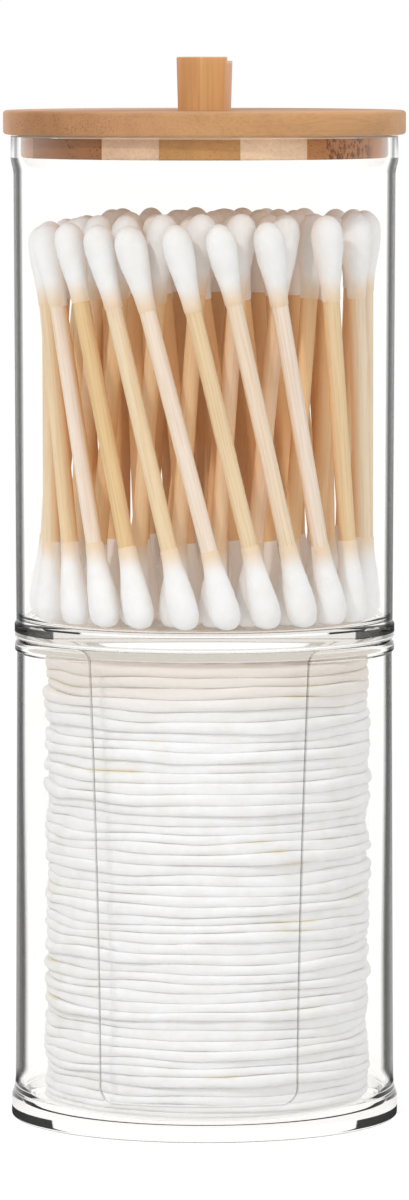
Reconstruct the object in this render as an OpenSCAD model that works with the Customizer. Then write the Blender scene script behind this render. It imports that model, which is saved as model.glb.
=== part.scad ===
// Two-tier clear cup organizer with a bamboo lid.
// The lower cup holds round cotton pads behind an open front slot, the upper cup
// stands on its rim and holds cotton swabs, and a bamboo lid plugs the upper cup.
// Origin: centre of the underside, on the table. +Z is up, the slot faces -Y.

/* [Lower cup] */
// Outside diameter of the lower cup's wall above its foot
lower_d = 66.7; // [60:0.1:90]
// How much narrower the lower cup is just below its rim
lower_taper = 0.8; // [0:0.1:2]
// Height of the lower cup, table to rim
lower_h = 84.5; // [60:0.5:130]
// Wall thickness of both cups
wall = 1.4; // [1:0.1:2]
// Thickness of the lower cup's floor
lower_floor = 2.4; // [1.6:0.1:4]
// How far the foot stands out past the wall
foot_out = 0.7; // [0.3:0.1:2]
// Height of the foot's upright edge
foot_h = 3.9; // [2.5:0.1:6]
// Height over which the foot flares in to the wall
flare_h = 3.5; // [1:0.1:6]
// Radius of the foot's lower edge
foot_edge_r = 0.8; // [0.2:0.1:1.5]
// Radius inside, where the wall meets the floor
lower_corner_r = 3; // [1:0.1:4]
// How far the rolled rim stands out past the wall
rim_out = 0.4; // [0.2:0.05:1]
// Height of the rolled rim
rim_h = 2.2; // [1.5:0.1:4]
// Radius of the rolled rim's outer edge
rim_edge_r = 0.9; // [0.3:0.1:1.2]

/* [Front slot] */
// Width of the slot at the rim
slot_top_w = 37.4; // [24:0.2:46]
// Width of the slot at its floor
slot_bottom_w = 33.8; // [20:0.2:44]
// Height of the slot's floor above the table
slot_floor_z = 6.3; // [5.6:0.1:30]
// How late the slot's sides spread towards the rim: 1 is a straight taper
slot_spread = 1.6; // [1:0.1:3]
// Radius of the slot's lower corners
slot_corner_r = 2.5; // [0.5:0.1:6]
// Radius of the corners where the slot opens through the rim
slot_mouth_r = 2.2; // [0.5:0.1:4]

/* [Upper cup] */
// How much narrower the upper cup's wall is above its base than the lower cup's
upper_inset = 0.25; // [0:0.05:2]
// How much wider the upper cup is at its rim, for draft
upper_draft = 0.7; // [0:0.1:2]
// Thickness of the upper cup's floor above the joint
upper_floor = 3.3; // [2:0.1:5]
// How far the base band stands out past the wall
band_out = 0.3; // [0:0.05:1]
// Height of the base band
band_h = 2.8; // [1.5:0.1:5]
// Radius of the base band's lower edge
band_edge_r = 0.9; // [0.2:0.1:1.1]
// Depth of the step that drops into the lower cup
step_h = 1.7; // [1:0.1:4]
// Clearance round the step
step_gap = 0.3; // [0.1:0.05:0.6]
// Radius inside, where the upper wall meets the floor
upper_corner_r = 1.5; // [0.5:0.1:1.8]
// How far the wall swells out at the mouth, where the lid plugs it
mouth_out = 0.5; // [0:0.1:1]
// Height over which the wall swells out below the mouth
mouth_rise = 3; // [1:0.1:6]

/* [Lid] */
// How far the lid overhangs the upper cup's rim
lid_overhang = 1.3; // [0.5:0.1:5]
// Thickness of the lid's disc
lid_t = 4.2; // [3:0.1:8]
// Rounding of the lid's edges
lid_edge_r = 0.6; // [0.2:0.1:1.4]
// Depth of the plug below the disc
plug_h = 4; // [2:0.5:6]
// Clearance round the plug
plug_gap = 0.35; // [0.1:0.05:0.6]
// Diameter of the knob at its foot
knob_d = 9.3; // [6:0.1:16]
// How much wider the knob is at its top
knob_flare = 0.5; // [0:0.1:2]
// Height of the knob
knob_h = 9.3; // [6:0.1:20]
// Width of the nick in the knob's top edge
nick_w = 1; // [0.3:0.1:1.5]
// Depth of the nick in the knob's top edge
nick_h = 0.7; // [0.3:0.1:1.5]

/* [Swabs] */
// Length of a swab
swab_l = 72; // [65:1:85]
// Diameter of a swab's stick
stick_d = 2.9; // [2:0.1:3.4]
// Widest diameter of a cotton bud
bud_d = 5.4; // [4.6:0.1:6.4]
// Length of a cotton bud along the stick
bud_l = 14.5; // [10:0.5:18]
// Length from a bud's end to its widest place
bud_nose = 3.4; // [2.6:0.1:5]
// Depth of cotton over the end of the stick
bud_cap = 2.2; // [1:0.1:3]
// Thickness of the cotton where it ends on the stick
bud_skirt = 0.25; // [0.15:0.05:0.5]
// Gap kept between neighbouring buds
bud_gap = 0.5; // [0.3:0.05:1.5]
// Gap kept between the outer buds and the wall
bud_wall_gap = 0.7; // [0.5:0.05:3]
// Mean turn of the outer ring's swabs from floor to top, in degrees
outer_twist = 31; // [0:1:40]
// Mean turn of the inner rings' swabs, in degrees
inner_twist = 24; // [0:1:40]
// Share of a ring that stays free, here and there, between its swabs
ring_slack = 0.16; // [0:0.01:0.3]
// How much the swabs' lean changes round a ring
lean_change = 0.8; // [0:0.05:1]
// Headroom from the top of an upright swab to the rim
swab_headroom = 13.2; // [9:0.05:20]
// Gap between a stick and the cotton wound on it
stick_gap = 0.03; // [0.01:0.01:0.1]

/* [Pads] */
// Number of pads in the stack
pad_count = 46; // [20:1:46]
// Gap between the pads and the lower cup's rim
pad_gap = 2.85; // [1:0.05:8]
// Most that a pad is pushed off the stack's centre line
pad_stray = 0.45; // [0:0.05:0.9]
// Where the stack stands off the cup's centre, to the right
stack_shift = 0.5; // [0:0.1:1]
// Gap between the top pad and the upper cup's step
pad_headroom = 1.2; // [1:0.1:6]
// How much thicker the top pad is than the bottom one, which the stack presses flat
pad_loft = 0.16; // [0:0.02:0.4]

/* [Hidden] */
$fn = 72;
arc_steps = 6;
bud_steps = 4;
side_steps = 8;
past = 1;

foot_r = lower_d / 2 + foot_out;
lower_r = lower_d / 2;
lower_inner_r = lower_r - wall;
lower_top_r = lower_r - lower_taper / 2;
lower_top_inner_r = lower_top_r - wall;
rim_r = lower_top_r + rim_out;
rim_inner_edge_r = 0.3;

upper_z = lower_h;
upper_h = upper_floor + swab_l + swab_headroom;
upper_r = lower_r - upper_inset;
upper_top_r = upper_r + upper_draft / 2;
upper_inner_r = upper_r - wall;
upper_top_inner_r = upper_top_r - wall;
mouth_r = upper_top_r + mouth_out;
mouth_inner_r = mouth_r - wall;
band_r = upper_r + band_out;
step_r = lower_top_inner_r - step_gap;
wall_edge_r = 0.4;

lid_z = upper_z + upper_h;
lid_r = mouth_r + lid_overhang;
plug_r = mouth_inner_r - plug_gap;

bud_r = bud_d / 2;
stick_r = stick_d / 2;
swab_span = swab_l - 2 * bud_nose;
ring_pitch = bud_d + bud_gap;
outer_ring_r = upper_inner_r - bud_wall_gap - bud_r;
ring_total = floor(outer_ring_r / ring_pitch) + 1;
bud_stray = 0.4 * bud_gap;
outer_start = -66.5;
ring_offset = 37;
lean_phase = 30;
ring_seed = 203;
end_seed = 127;
swab_floor_z = upper_z + upper_floor;
swab_seat_gap = 0.03;

pad_r = lower_top_inner_r - pad_gap;
pad_mean_t = (lower_h - step_h - pad_headroom - lower_floor) / pad_count;

function two_digits(i) = str(i < 10 ? "0" : "", i);
RINGS = [for (i = [1 : ring_total]) i];
PADS = [for (i = [1 : pad_count]) i];

// Points of an arc round a centre, from one angle to another
function arc(centre, r, from, to) =
    [for (i = [0 : arc_steps])
        let (a = from + (to - from) * i / arc_steps)
        centre + r * [cos(a), sin(a)]];

function reversed(points) = [for (i = [len(points) - 1 : -1 : 0]) points[i]];

// A right-hand outline closed by its mirror image
function both_sides(half) = concat(half, [for (p = reversed(half)) [-p[0], p[1]]]);

// Outside of the foot, which flares in to the wall on a hollow curve
function foot_flare() =
    [for (i = [1 : arc_steps])
        let (t = i / arc_steps)
        [lower_r + foot_out * pow(1 - t, 2), foot_h + flare_h * t]];

// Section of the lower cup
function lower_section() = concat(
    [[0, 0]],
    arc([foot_r - foot_edge_r, foot_edge_r], foot_edge_r, -90, 0),
    [[foot_r, foot_h]],
    foot_flare(),
    [[lower_top_r, lower_h - rim_h], [rim_r, lower_h - rim_h + rim_out]],
    arc([rim_r - rim_edge_r, lower_h - rim_edge_r], rim_edge_r, 0, 90),
    arc([lower_top_inner_r + rim_inner_edge_r, lower_h - rim_inner_edge_r],
        rim_inner_edge_r, 90, 180),
    arc([lower_inner_r - lower_corner_r, lower_floor + lower_corner_r],
        lower_corner_r, 0, -90),
    [[0, lower_floor]]
);

// Half width of the slot at a share of its height between its corners
function slot_side(t) =
    (slot_bottom_w + (slot_top_w - slot_bottom_w) * pow(t, slot_spread)) / 2;

// Half outline of the slot, seen from the front
function slot_half() =
    let (low = slot_floor_z + slot_corner_r, high = lower_h - slot_mouth_r)
    concat(
        arc([slot_bottom_w / 2 - slot_corner_r, low], slot_corner_r, -90, 0),
        [for (i = [1 : side_steps - 1])
            let (t = i / side_steps)
            [slot_side(t), low + (high - low) * t]],
        arc([slot_top_w / 2 + slot_mouth_r, high], slot_mouth_r, 180, 90),
        [[slot_top_w / 2 + slot_mouth_r, lower_h + past]]
    );

module lower_cup() {
    color("aliceblue", 0.4)
    difference() {
        rotate_extrude() polygon(lower_section());
        rotate([90, 0, 0])
            linear_extrude(foot_r + past) polygon(both_sides(slot_half()));
    }
}

// Swell of the upper wall below its mouth, from a wall at radius r
function mouth_swell(r) =
    [for (i = [0 : arc_steps])
        let (t = i / arc_steps)
        [r + mouth_out * (1 - cos(180 * t)) / 2, upper_h - plug_h - mouth_rise * (1 - t)]];

// Section of the upper cup with the step under its floor
function upper_section() = concat(
    [[0, -step_h], [step_r, -step_h], [step_r, 0]],
    arc([band_r - band_edge_r, band_edge_r], band_edge_r, -90, 0),
    [[band_r, band_h], [upper_r, band_h + band_out]],
    mouth_swell(upper_top_r),
    arc([mouth_r - wall_edge_r, upper_h - wall_edge_r], wall_edge_r, 0, 90),
    arc([mouth_inner_r + wall_edge_r, upper_h - wall_edge_r], wall_edge_r, 90, 180),
    reversed(mouth_swell(upper_top_inner_r)),
    arc([upper_inner_r - upper_corner_r, upper_floor + upper_corner_r],
        upper_corner_r, 0, -90),
    [[0, upper_floor]]
);

module upper_cup() {
    color("aliceblue", 0.4)
    translate([0, 0, upper_z])
        rotate_extrude() polygon(upper_section());
}

// Section of the lid, a disc and a plug turned from one board
function lid_section() = concat(
    [[0, -plug_h]],
    arc([plug_r - lid_edge_r, lid_edge_r - plug_h], lid_edge_r, -90, 0),
    [[plug_r, 0]],
    arc([lid_r - lid_edge_r, lid_edge_r], lid_edge_r, -90, 0),
    arc([lid_r - lid_edge_r, lid_t - lid_edge_r], lid_edge_r, 0, 90),
    [[0, lid_t]]
);

module lid() {
    color("burlywood")
    translate([0, 0, lid_z])
        rotate_extrude() polygon(lid_section());
}

module knob() {
    top_r = (knob_d + knob_flare) / 2;
    color("tan")
    translate([0, 0, lid_z + lid_t])
    difference() {
        cylinder(h = knob_h, r1 = knob_d / 2, r2 = top_r);
        translate([top_r - nick_w, -top_r, knob_h - nick_h])
            cube([nick_w + past, 2 * top_r, nick_h + past]);
    }
}

// Each ring's swabs stand on one circle and are turned to another place on a like
// circle at the top. Neighbouring rings turn opposite ways, so they cross like poured swabs,
// and free room at either end lets each swab lean in its own way.
function ring_r(ring) =
    let (r = outer_ring_r - (ring - 1) * ring_pitch)
    r < ring_pitch / 2 ? 0 : r;
function ring_twist(ring) =
    ring == 1 ? -outer_twist : ring % 2 == 0 ? inner_twist : -inner_twist;
function lean(run) = asin(run / swab_span);
function most_twist(ring) = abs(ring_twist(ring)) + 360 * ring_slack / 4;
function ring_lean(ring) = lean(2 * ring_r(ring) * sin(most_twist(ring) / 2));
function least_turn(ring) =
    let (room = ring_pitch / cos(ring_lean(ring)))
    2 * asin(min(1, room / (2 * ring_r(ring))));
function swab_count(ring) =
    ring_r(ring) == 0 ? 1 : max(1, floor(360 * (1 - ring_slack) / least_turn(ring)));
function stray(ring, i, end) =
    rands(-bud_stray, bud_stray, 2, 1000 * ring + 10 * i + end);

// Share of a ring's free room that lies before each of its swabs. At the floor more of it
// gathers on one side of the ring, and at the top on the other.
function free_room(ring, end) =
    let (
        count = swab_count(ring),
        dice = rands(0, 2, count, ring_seed * ring + end_seed * end),
        change = end == 0 ? -lean_change : lean_change,
        gaps = [for (i = [0 : count - 1])
            dice[i] * (1 + change * cos(360 * i / count - lean_phase))],
        total = gaps * [for (gap = gaps) 1]
    )
    [for (i = 0, sum = 0; i < count; sum = sum + gaps[i], i = i + 1) sum / total];

// Centre of a bud's widest place, seen from above
function bud_place(ring, i, end) =
    let (
        s = stray(ring, i, end),
        r = ring_r(ring) + s[0],
        first = outer_start + ring_offset * (ring - 1),
        turn = end == 0 ? 0 : ring_twist(ring),
        before = (1 - ring_slack) * i / swab_count(ring) + ring_slack * free_room(ring, end)[i],
        a = first + turn + 360 * before
    )
    r * [cos(a), sin(a)] + s[1] * [-sin(a), cos(a)];

// Height of a leaning bud's widest place above what it stands on
function seat(tilt) =
    sqrt(pow(bud_nose * cos(tilt), 2) + pow(bud_r * sin(tilt), 2)) + swab_seat_gap;

module at_swab(ring, i) {
    foot = bud_place(ring, i, 0);
    run = bud_place(ring, i, 1) - foot;
    tilt = lean(norm(run));
    translate([foot[0], foot[1], swab_floor_z + seat(tilt)])
        rotate([0, tilt, atan2(run[1], run[0])])
            children();
}

module swab_sticks(ring) {
    inset = bud_cap - bud_nose;
    color("navajowhite")
    for (i = [0 : swab_count(ring) - 1])
        at_swab(ring, i)
            translate([0, 0, inset])
                cylinder(h = swab_l - 2 * bud_cap, r = stick_r);
}

// Half section of a bud wound round the end of a stick: a round nose,
// then a long taper to the skirt, with the stick's socket inside
function bud_section() =
    let (
        skirt_r = stick_r + bud_skirt,
        taper = bud_l - bud_nose,
        socket_r = stick_r + stick_gap
    )
    concat(
        [for (i = [0 : bud_steps])
            let (a = -90 + 90 * i / bud_steps)
            [bud_r * cos(a), bud_nose * sin(a)]],
        [for (i = [1 : bud_steps])
            let (t = i / bud_steps)
            [skirt_r + (bud_r - skirt_r) * (1 + cos(180 * t)) / 2, taper * t]],
        [[socket_r, taper], [socket_r, bud_cap - bud_nose], [0, bud_cap - bud_nose]]
    );

module bud() rotate_extrude() polygon(bud_section());

module swab_buds(ring) {
    color("white")
    for (i = [0 : swab_count(ring) - 1])
        at_swab(ring, i) {
            bud();
            translate([0, 0, swab_span]) mirror([0, 0, 1]) bud();
        }
}

// Height of the top of the first count pads above the cup's floor
function pads_h(count) =
    count * pad_mean_t * (1 + pad_loft * (count / pad_count - 1) / 2);

// A pad is a thin disc with a soft round edge
module cotton_pad(i) {
    off = rands(-pad_stray, pad_stray, 2, 500 + i) + [stack_shift, 0];
    pad_t = pads_h(i) - pads_h(i - 1);
    half_t = pad_t / 2;
    edge = arc([pad_r - half_t, half_t], half_t, -90, 90);
    color("white")
    translate([off[0], off[1], lower_floor + pads_h(i - 1)])
        rotate_extrude() polygon(concat([[0, 0]], edge, [[0, pad_t]]));
}

lower_cup();
upper_cup();
lid();
knob();
for (i = RINGS) {
    swab_sticks(i);
    swab_buds(i);
}
for (i = PADS)
    cotton_pad(i);
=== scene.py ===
import math

import bmesh
import bpy
import numpy as np
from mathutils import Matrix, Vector


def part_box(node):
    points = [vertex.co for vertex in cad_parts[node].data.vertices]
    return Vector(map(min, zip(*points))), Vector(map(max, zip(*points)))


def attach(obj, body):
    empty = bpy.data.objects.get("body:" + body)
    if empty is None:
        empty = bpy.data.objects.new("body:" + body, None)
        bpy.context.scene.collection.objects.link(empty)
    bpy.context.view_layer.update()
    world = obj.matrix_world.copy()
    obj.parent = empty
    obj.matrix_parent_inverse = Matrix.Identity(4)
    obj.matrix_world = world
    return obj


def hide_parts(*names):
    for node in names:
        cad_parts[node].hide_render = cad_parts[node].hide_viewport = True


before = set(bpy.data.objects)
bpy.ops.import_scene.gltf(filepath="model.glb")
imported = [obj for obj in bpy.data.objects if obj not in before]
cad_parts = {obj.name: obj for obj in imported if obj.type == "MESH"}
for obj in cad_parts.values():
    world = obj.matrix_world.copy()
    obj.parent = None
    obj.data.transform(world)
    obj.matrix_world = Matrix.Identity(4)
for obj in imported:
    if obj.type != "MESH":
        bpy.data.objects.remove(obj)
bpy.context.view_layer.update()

# Lengths below are in millimetres, as in the CAD, unless a name says otherwise
MM = 0.001
SEGMENTS = 256
ARC_STEPS = 8
random = np.random.default_rng(11)


def cad_box_mm(node):
    """Lowest and highest corner of a CAD node."""
    low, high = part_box(node)
    return np.array(low) / MM, np.array(high) / MM


# Wall of both cups
WALL = 1.4

# Boxes of the hard nodes
lower_high = cad_box_mm("lower_cup")[1]
upper_low, upper_high = cad_box_mm("upper_cup")
lid_low, lid_high = cad_box_mm("lid")
knob_low, knob_high = cad_box_mm("knob")

# Lower cup
FOOT_OUT = 0.7
FOOT_H = 3.9
FLARE_H = 3.5
FOOT_EDGE_R = 0.8
LOWER_FLOOR = 2.4
LOWER_CORNER_R = 3.0
LOWER_TAPER = 0.8
RIM_OUT = 0.4
RIM_H = 2.2
RIM_EDGE_R = 0.9
RIM_INNER_EDGE_R = 0.3
foot_r = lower_high[0]
lower_h = lower_high[2]
lower_r = foot_r - FOOT_OUT
lower_top_r = lower_r - LOWER_TAPER / 2
lower_top_inner_r = lower_top_r - WALL
rim_r = lower_top_r + RIM_OUT

# Front slot
SLOT_TOP_W = 37.4
SLOT_BOTTOM_W = 33.8
SLOT_FLOOR_Z = 6.3
SLOT_SPREAD = 1.6
SLOT_CORNER_R = 2.5
SLOT_MOUTH_R = 2.2
SLOT_EDGE_R = 0.22

# Upper cup
UPPER_DRAFT = 0.7
UPPER_FLOOR = 3.3
UPPER_CORNER_R = 1.5
BAND_OUT = 0.3
BAND_H = 2.8
BAND_EDGE_R = 0.9
STEP_GAP = 0.3
STEP_EDGE_R = 0.35
MOUTH_OUT = 0.5
MOUTH_RISE = 3.0
WALL_EDGE_R = 0.4
upper_z = lower_h
upper_h = upper_high[2] - upper_z
mouth_r = upper_high[0]
upper_top_r = mouth_r - MOUTH_OUT
upper_r = upper_top_r - UPPER_DRAFT / 2
band_r = upper_r + BAND_OUT
step_r = lower_top_inner_r - STEP_GAP
step_h = upper_z - upper_low[2]

# Heights of the painted dark stripes, which stand in for a dark room that thick acrylic
# would bend into view: the foot's, where the lower wall's starts, and where the band's
# starts above the upper cup's own foot
FOOT_BAR_LOW = 0.49
FOOT_BAR_TOP = 2.1
WALL_DARK_LOW = 6.2
BAND_BAR_LOW = 1.45

# Air left over the lower rim, because glass faces that coincide render black spots
SEAT_GAP = 0.04

# Lid and knob
PLUG_GAP = 0.35
LID_EDGE_R = 0.6
KNOB_EDGE_R = 0.25
KNOB_FLARE = 0.5
NICK_W = 1.0
NICK_H = 0.7
lid_z = upper_high[2]
lid_r = lid_high[0]
plug_h = lid_z - lid_low[2]
plug_r = mouth_r - WALL - PLUG_GAP

# Swabs and pads
RINGS = 5
PADS = 46
STICK_R = 1.45
BUD_R = 2.7
BUD_L = 14.5
BUD_NOSE = 3.4
BUD_CAP = 2.2
BUD_SKIRT = 0.25

# Heights between which the pads take on the painted warm shade under the upper cup
PAD_PAINTED_SHADE_LOW = 70.0
PAD_PAINTED_SHADE_HIGH = 82.0

# Distances from the axis over which the buds and the sticks take on painted bounce light, in
# metres
BUDS_PAINTED_BOUNCE = (0.0245, 0.017)
STICKS_PAINTED_BOUNCE = (0.0262, 0.0205)


def add_node(tree, kind, inputs=None, **settings):
    """A shader node with its settings, and its inputs set or linked by name or place."""
    made = tree.nodes.new(f"ShaderNode{kind}")
    for name, value in settings.items():
        setattr(made, name, value)
    for key, value in (inputs or {}).items():
        if isinstance(value, bpy.types.NodeSocket):
            tree.links.new(value, made.inputs[key])
        else:
            made.inputs[key].default_value = value
    return made


def new_material(name):
    """An empty material and its node tree."""
    material = bpy.data.materials.new(name)
    material.use_nodes = True
    material.node_tree.nodes.clear()
    return material, material.node_tree


def output(tree, shader):
    add_node(tree, "OutputMaterial", {"Surface": shader})


def math_node(tree, operation, first, second=0.0, third=0.0):
    return add_node(
        tree, "Math", {0: first, 1: second, 2: third}, operation=operation
    ).outputs[0]


def ramp(tree, factor, stops, interpolation="LINEAR"):
    """A colour ramp; each stop is (place, grey or colour)."""
    made = add_node(tree, "ValToRGB", {"Fac": factor})
    made.color_ramp.interpolation = interpolation
    elements = made.color_ramp.elements
    while len(elements) < len(stops):
        elements.new(0.5)
    for element, (position, colour) in zip(elements, stops):
        element.position = position
        rgb = colour if hasattr(colour, "__len__") else (colour,) * 3
        element.color = (*rgb, 1.0)
    return made.outputs["Color"]


def from_srgb(*values):
    """Linear colour of 0 to 255 screen values."""
    return tuple(
        v / 255 / 12.92 if v <= 10 else ((v / 255 + 0.055) / 1.055) ** 2.4 for v in values
    )


def mesh_value(tree, attribute):
    """Outputs that read an attribute stored in the mesh."""
    return add_node(tree, "Attribute", attribute_name=attribute).outputs


def place(tree, scale, attribute=None):
    """Coordinates in metres times scale, from the object or a stored attribute."""
    if attribute:
        vector = mesh_value(tree, attribute)["Vector"]
    else:
        vector = add_node(tree, "TexCoord").outputs["Object"]
    return vector_node(tree, "MULTIPLY", vector, scale)


def vector_node(tree, operation, first, second=(0.0, 0.0, 0.0), socket="Vector"):
    return add_node(
        tree, "VectorMath", {0: first, 1: second}, operation=operation
    ).outputs[socket]


def height_mm(tree):
    """Height in mm above the table, as the part stands at rest."""
    where = add_node(tree, "TexCoord").outputs["Object"]
    in_mm = vector_node(tree, "MULTIPLY", where, (1 / MM,) * 3)
    return add_node(tree, "SeparateXYZ", {0: in_mm}).outputs["Z"]


def map_range(tree, value, low, high, to_low=0.0, to_high=1.0):
    """The value's share of the way from low to high, eased and kept within 0 to 1."""
    return add_node(
        tree,
        "MapRange",
        {0: value, 1: low, 2: high, 3: to_low, 4: to_high},
        interpolation_type="SMOOTHSTEP",
    ).outputs[0]


def stretched(tree, grain, along, across):
    """Coordinates in metres times across, but times along in the grain's direction."""
    where = add_node(tree, "TexCoord").outputs["Object"]
    reach = vector_node(tree, "DOT_PRODUCT", where, grain, "Value")
    squeeze = math_node(tree, "MULTIPLY", reach, along - across)
    pull = add_node(
        tree, "VectorMath", {0: grain, "Scale": squeeze}, operation="SCALE"
    ).outputs[0]
    wide = vector_node(tree, "MULTIPLY", where, (across,) * 3)
    return vector_node(tree, "ADD", wide, pull)


def painted_bounce_mask(tree, near_m, far_m):
    """0 on the outside of the bundle of swabs, up to 1 in its depths and on the sides
    that face its middle: where buds and sticks get painted bounce light, for light that
    has bounced between the sticks."""
    coords = add_node(tree, "TexCoord").outputs
    flat = vector_node(tree, "MULTIPLY", coords["Object"], (1.0, 1.0, 0.0))
    radius = vector_node(tree, "LENGTH", flat, socket="Value")
    depth = map_range(tree, radius, near_m, far_m)
    outward = vector_node(tree, "NORMALIZE", flat)
    turned_out = vector_node(tree, "DOT_PRODUCT", outward, coords["Normal"], "Value")
    turned_in = map_range(tree, turned_out, 0.3, -0.5)
    return math_node(tree, "MAXIMUM", depth, turned_in)


def noise(tree, vector, scale=1.0, detail=3.0, roughness=0.55):
    return add_node(
        tree,
        "TexNoise",
        {"Vector": vector, "Scale": scale, "Detail": detail, "Roughness": roughness},
    ).outputs["Fac"]


def mix_colour(tree, factor, first, second, blend="MIX"):
    made = add_node(tree, "Mix", data_type="RGBA", blend_type=blend)
    for key, value in ((0, factor), (6, first), (7, second)):
        if isinstance(value, bpy.types.NodeSocket):
            tree.links.new(value, made.inputs[key])
        elif key == 0:
            made.inputs[key].default_value = value
        else:
            made.inputs[key].default_value = (*value, 1.0)
    return made.outputs[2]


def seen_directly(tree):
    """1 for rays that show a thing: camera, mirror and see-through rays."""
    path = add_node(tree, "LightPath").outputs
    shown = math_node(tree, "MAXIMUM", path["Is Camera Ray"], path["Is Glossy Ray"])
    return math_node(tree, "MAXIMUM", shown, path["Is Transmission Ray"])


# Acrylic: its tints are shares of the light that it lets through
ACRYLIC_IOR = 1.25
ACRYLIC_ROUGHNESS = 0.0
CLEAR_TINT = (0.998, 0.995, 0.987)
# A painted warm shade that the step lays over what is seen through it
STEP_PAINTED_SHADE = (0.80, 0.78, 0.75)

# Bounces after which a ray goes straight out of the acrylic
TRAPPED_DEPTH = 6.5

# Rounded edges of the slot: what they let through to the eye and to a lamp
EDGE_CLEAR = 0.74
EDGE_LAMP_SHARE = 0.15
EDGE_GLOSS = 0.25

# The edge of the mouth, with its painted highlight
RIM_TONE = (0.93, 0.82, 0.68)
RIM_PAINTED_GLOW = 0.3
RIM_SHARE = 0.4


def acrylic(name, stops=None, narrows=(), plain=CLEAR_TINT):
    """Clear acrylic that lamps shine through. The stops darken it towards its outline with
    painted shade, which stands in for the dark sides of a room that a thick clear wall
    would bend into view. Each of narrows gives two heights in mm and how much further out
    the dark part starts at the second.
    Faces seen through other acrylic stay clear, and light that keeps turning inside the
    acrylic is let out."""
    material, tree = new_material(name)
    path = add_node(tree, "LightPath").outputs
    if stops:
        facing = add_node(tree, "LayerWeight", {"Blend": 0.5}).outputs["Facing"]
        for first, second, shift in narrows:
            start = map_range(tree, height_mm(tree), first, second, 0.0, shift)
            facing = math_node(tree, "SUBTRACT", facing, start)
        beyond = math_node(tree, "MAXIMUM", path["Is Glossy Ray"], path["Transmission Depth"])
        tint = mix_colour(tree, beyond, ramp(tree, facing, stops), plain)
    else:
        tint = (*plain, 1.0)
    glass = add_node(
        tree,
        "BsdfGlass",
        {"Color": tint, "Roughness": ACRYLIC_ROUGHNESS, "IOR": ACRYLIC_IOR},
    )
    clear = add_node(tree, "BsdfTransparent")
    lamp = math_node(tree, "MAXIMUM", path["Is Shadow Ray"], path["Is Diffuse Ray"])
    trapped = math_node(tree, "GREATER_THAN", path["Ray Depth"], TRAPPED_DEPTH)
    let_through = math_node(tree, "MAXIMUM", lamp, trapped)
    mixed = add_node(
        tree,
        "MixShader",
        {0: let_through, 1: glass.outputs[0], 2: clear.outputs[0]},
    )
    output(tree, mixed.outputs[0])
    return material


def rounded_edge(name):
    """A rounded acrylic edge too fine to bend a view: it only greys what lies behind, as
    painted shade for the dark line of a bending edge, and throws a thin soft shadow."""
    material, tree = new_material(name)
    shadow = add_node(tree, "LightPath").outputs["Is Shadow Ray"]
    tone = mix_colour(tree, shadow, (EDGE_CLEAR,) * 3, (EDGE_LAMP_SHARE,) * 3)
    clear = add_node(tree, "BsdfTransparent", {"Color": tone})
    gloss = add_node(
        tree, "BsdfGlossy", {"Color": (0.9, 0.9, 0.9, 1.0), "Roughness": 0.1}
    )
    fresnel = add_node(tree, "Fresnel", {"IOR": ACRYLIC_IOR}).outputs[0]
    share = math_node(tree, "MULTIPLY", fresnel, EDGE_GLOSS)
    mixed = add_node(
        tree, "MixShader", {0: share, 1: clear.outputs[0], 2: gloss.outputs[0]}
    )
    output(tree, mixed.outputs[0])
    return material


def painted_highlight_edge(name):
    """The mouth's edge, partly see-through, with a painted highlight: it glows though no
    lamp is there, as if with light that the wall had gathered.
    """
    material, tree = new_material(name)
    tone = (*RIM_TONE, 1.0)
    pale = add_node(tree, "BsdfDiffuse", {"Color": tone}).outputs[0]
    glow = add_node(tree, "Emission", {"Color": tone, "Strength": RIM_PAINTED_GLOW}).outputs[0]
    lit = add_node(tree, "AddShader", {0: pale, 1: glow}).outputs[0]
    clear = add_node(tree, "BsdfTransparent").outputs[0]
    mixed = add_node(tree, "MixShader", {0: RIM_SHARE, 1: clear, 2: lit})
    output(tree, mixed.outputs[0])
    return material


# Each stop is how far a face is turned from the eye, and the light that it lets through;
# the low shares are painted shade, in place of a dark room bent into view
UPPER_WALL_STOPS = [
    (0.695, 1.0),
    (0.717, 0.64),
    (0.740, 0.34),
    (0.760, 0.19),
    (0.780, 0.17),
    (0.803, 0.21),
    (0.831, 0.28),
    (0.866, 0.40),
    (0.920, 0.42),
    (0.975, 0.62),
]
LOWER_WALL_STOPS = [
    (0.640, 1.0),
    (0.663, 0.73),
    (0.679, 0.53),
    (0.695, 0.30),
    (0.712, 0.15),
    (0.749, 0.14),
    (0.771, 0.18),
    (0.795, 0.20),
    (0.822, 0.30),
    (0.860, 0.37),
    (0.900, 0.40),
    (0.975, 0.62),
]
FOOT_BAR_STOPS = [(0.0, 1.0), (0.392, 1.0), (0.402, 0.05), (1.0, 0.04)]
JOINT_BAR_STOPS = [(0.0, 1.0), (0.392, 1.0), (0.402, 0.17), (0.7, 0.11), (1.0, 0.10)]
MOUTH_STOPS = [
    (0.700, 1.0),
    (0.735, 0.80),
    (0.755, 0.45),
    (0.790, 0.50),
    (0.815, 0.95),
    (1.0, 1.0),
]

clear_plain = acrylic("acrylic_clear")
clear_upper_wall = acrylic("acrylic_upper_wall", UPPER_WALL_STOPS)
clear_lower_wall = acrylic(
    "acrylic_lower_wall",
    LOWER_WALL_STOPS,
    narrows=[(22.0, 75.0, 0.055), (10.0, WALL_DARK_LOW, 0.14)],
)
clear_foot_bar = acrylic("acrylic_foot_edge", FOOT_BAR_STOPS)
clear_joint_bar = acrylic("acrylic_joint_edge", JOINT_BAR_STOPS)
clear_step = acrylic("acrylic_step", plain=STEP_PAINTED_SHADE)
clear_mouth = acrylic("acrylic_mouth", MOUTH_STOPS)
clear_cut_edge = rounded_edge("acrylic_slot_edge")
rim_painted_highlight = painted_highlight_edge("acrylic_rim_painted_highlight")


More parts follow.
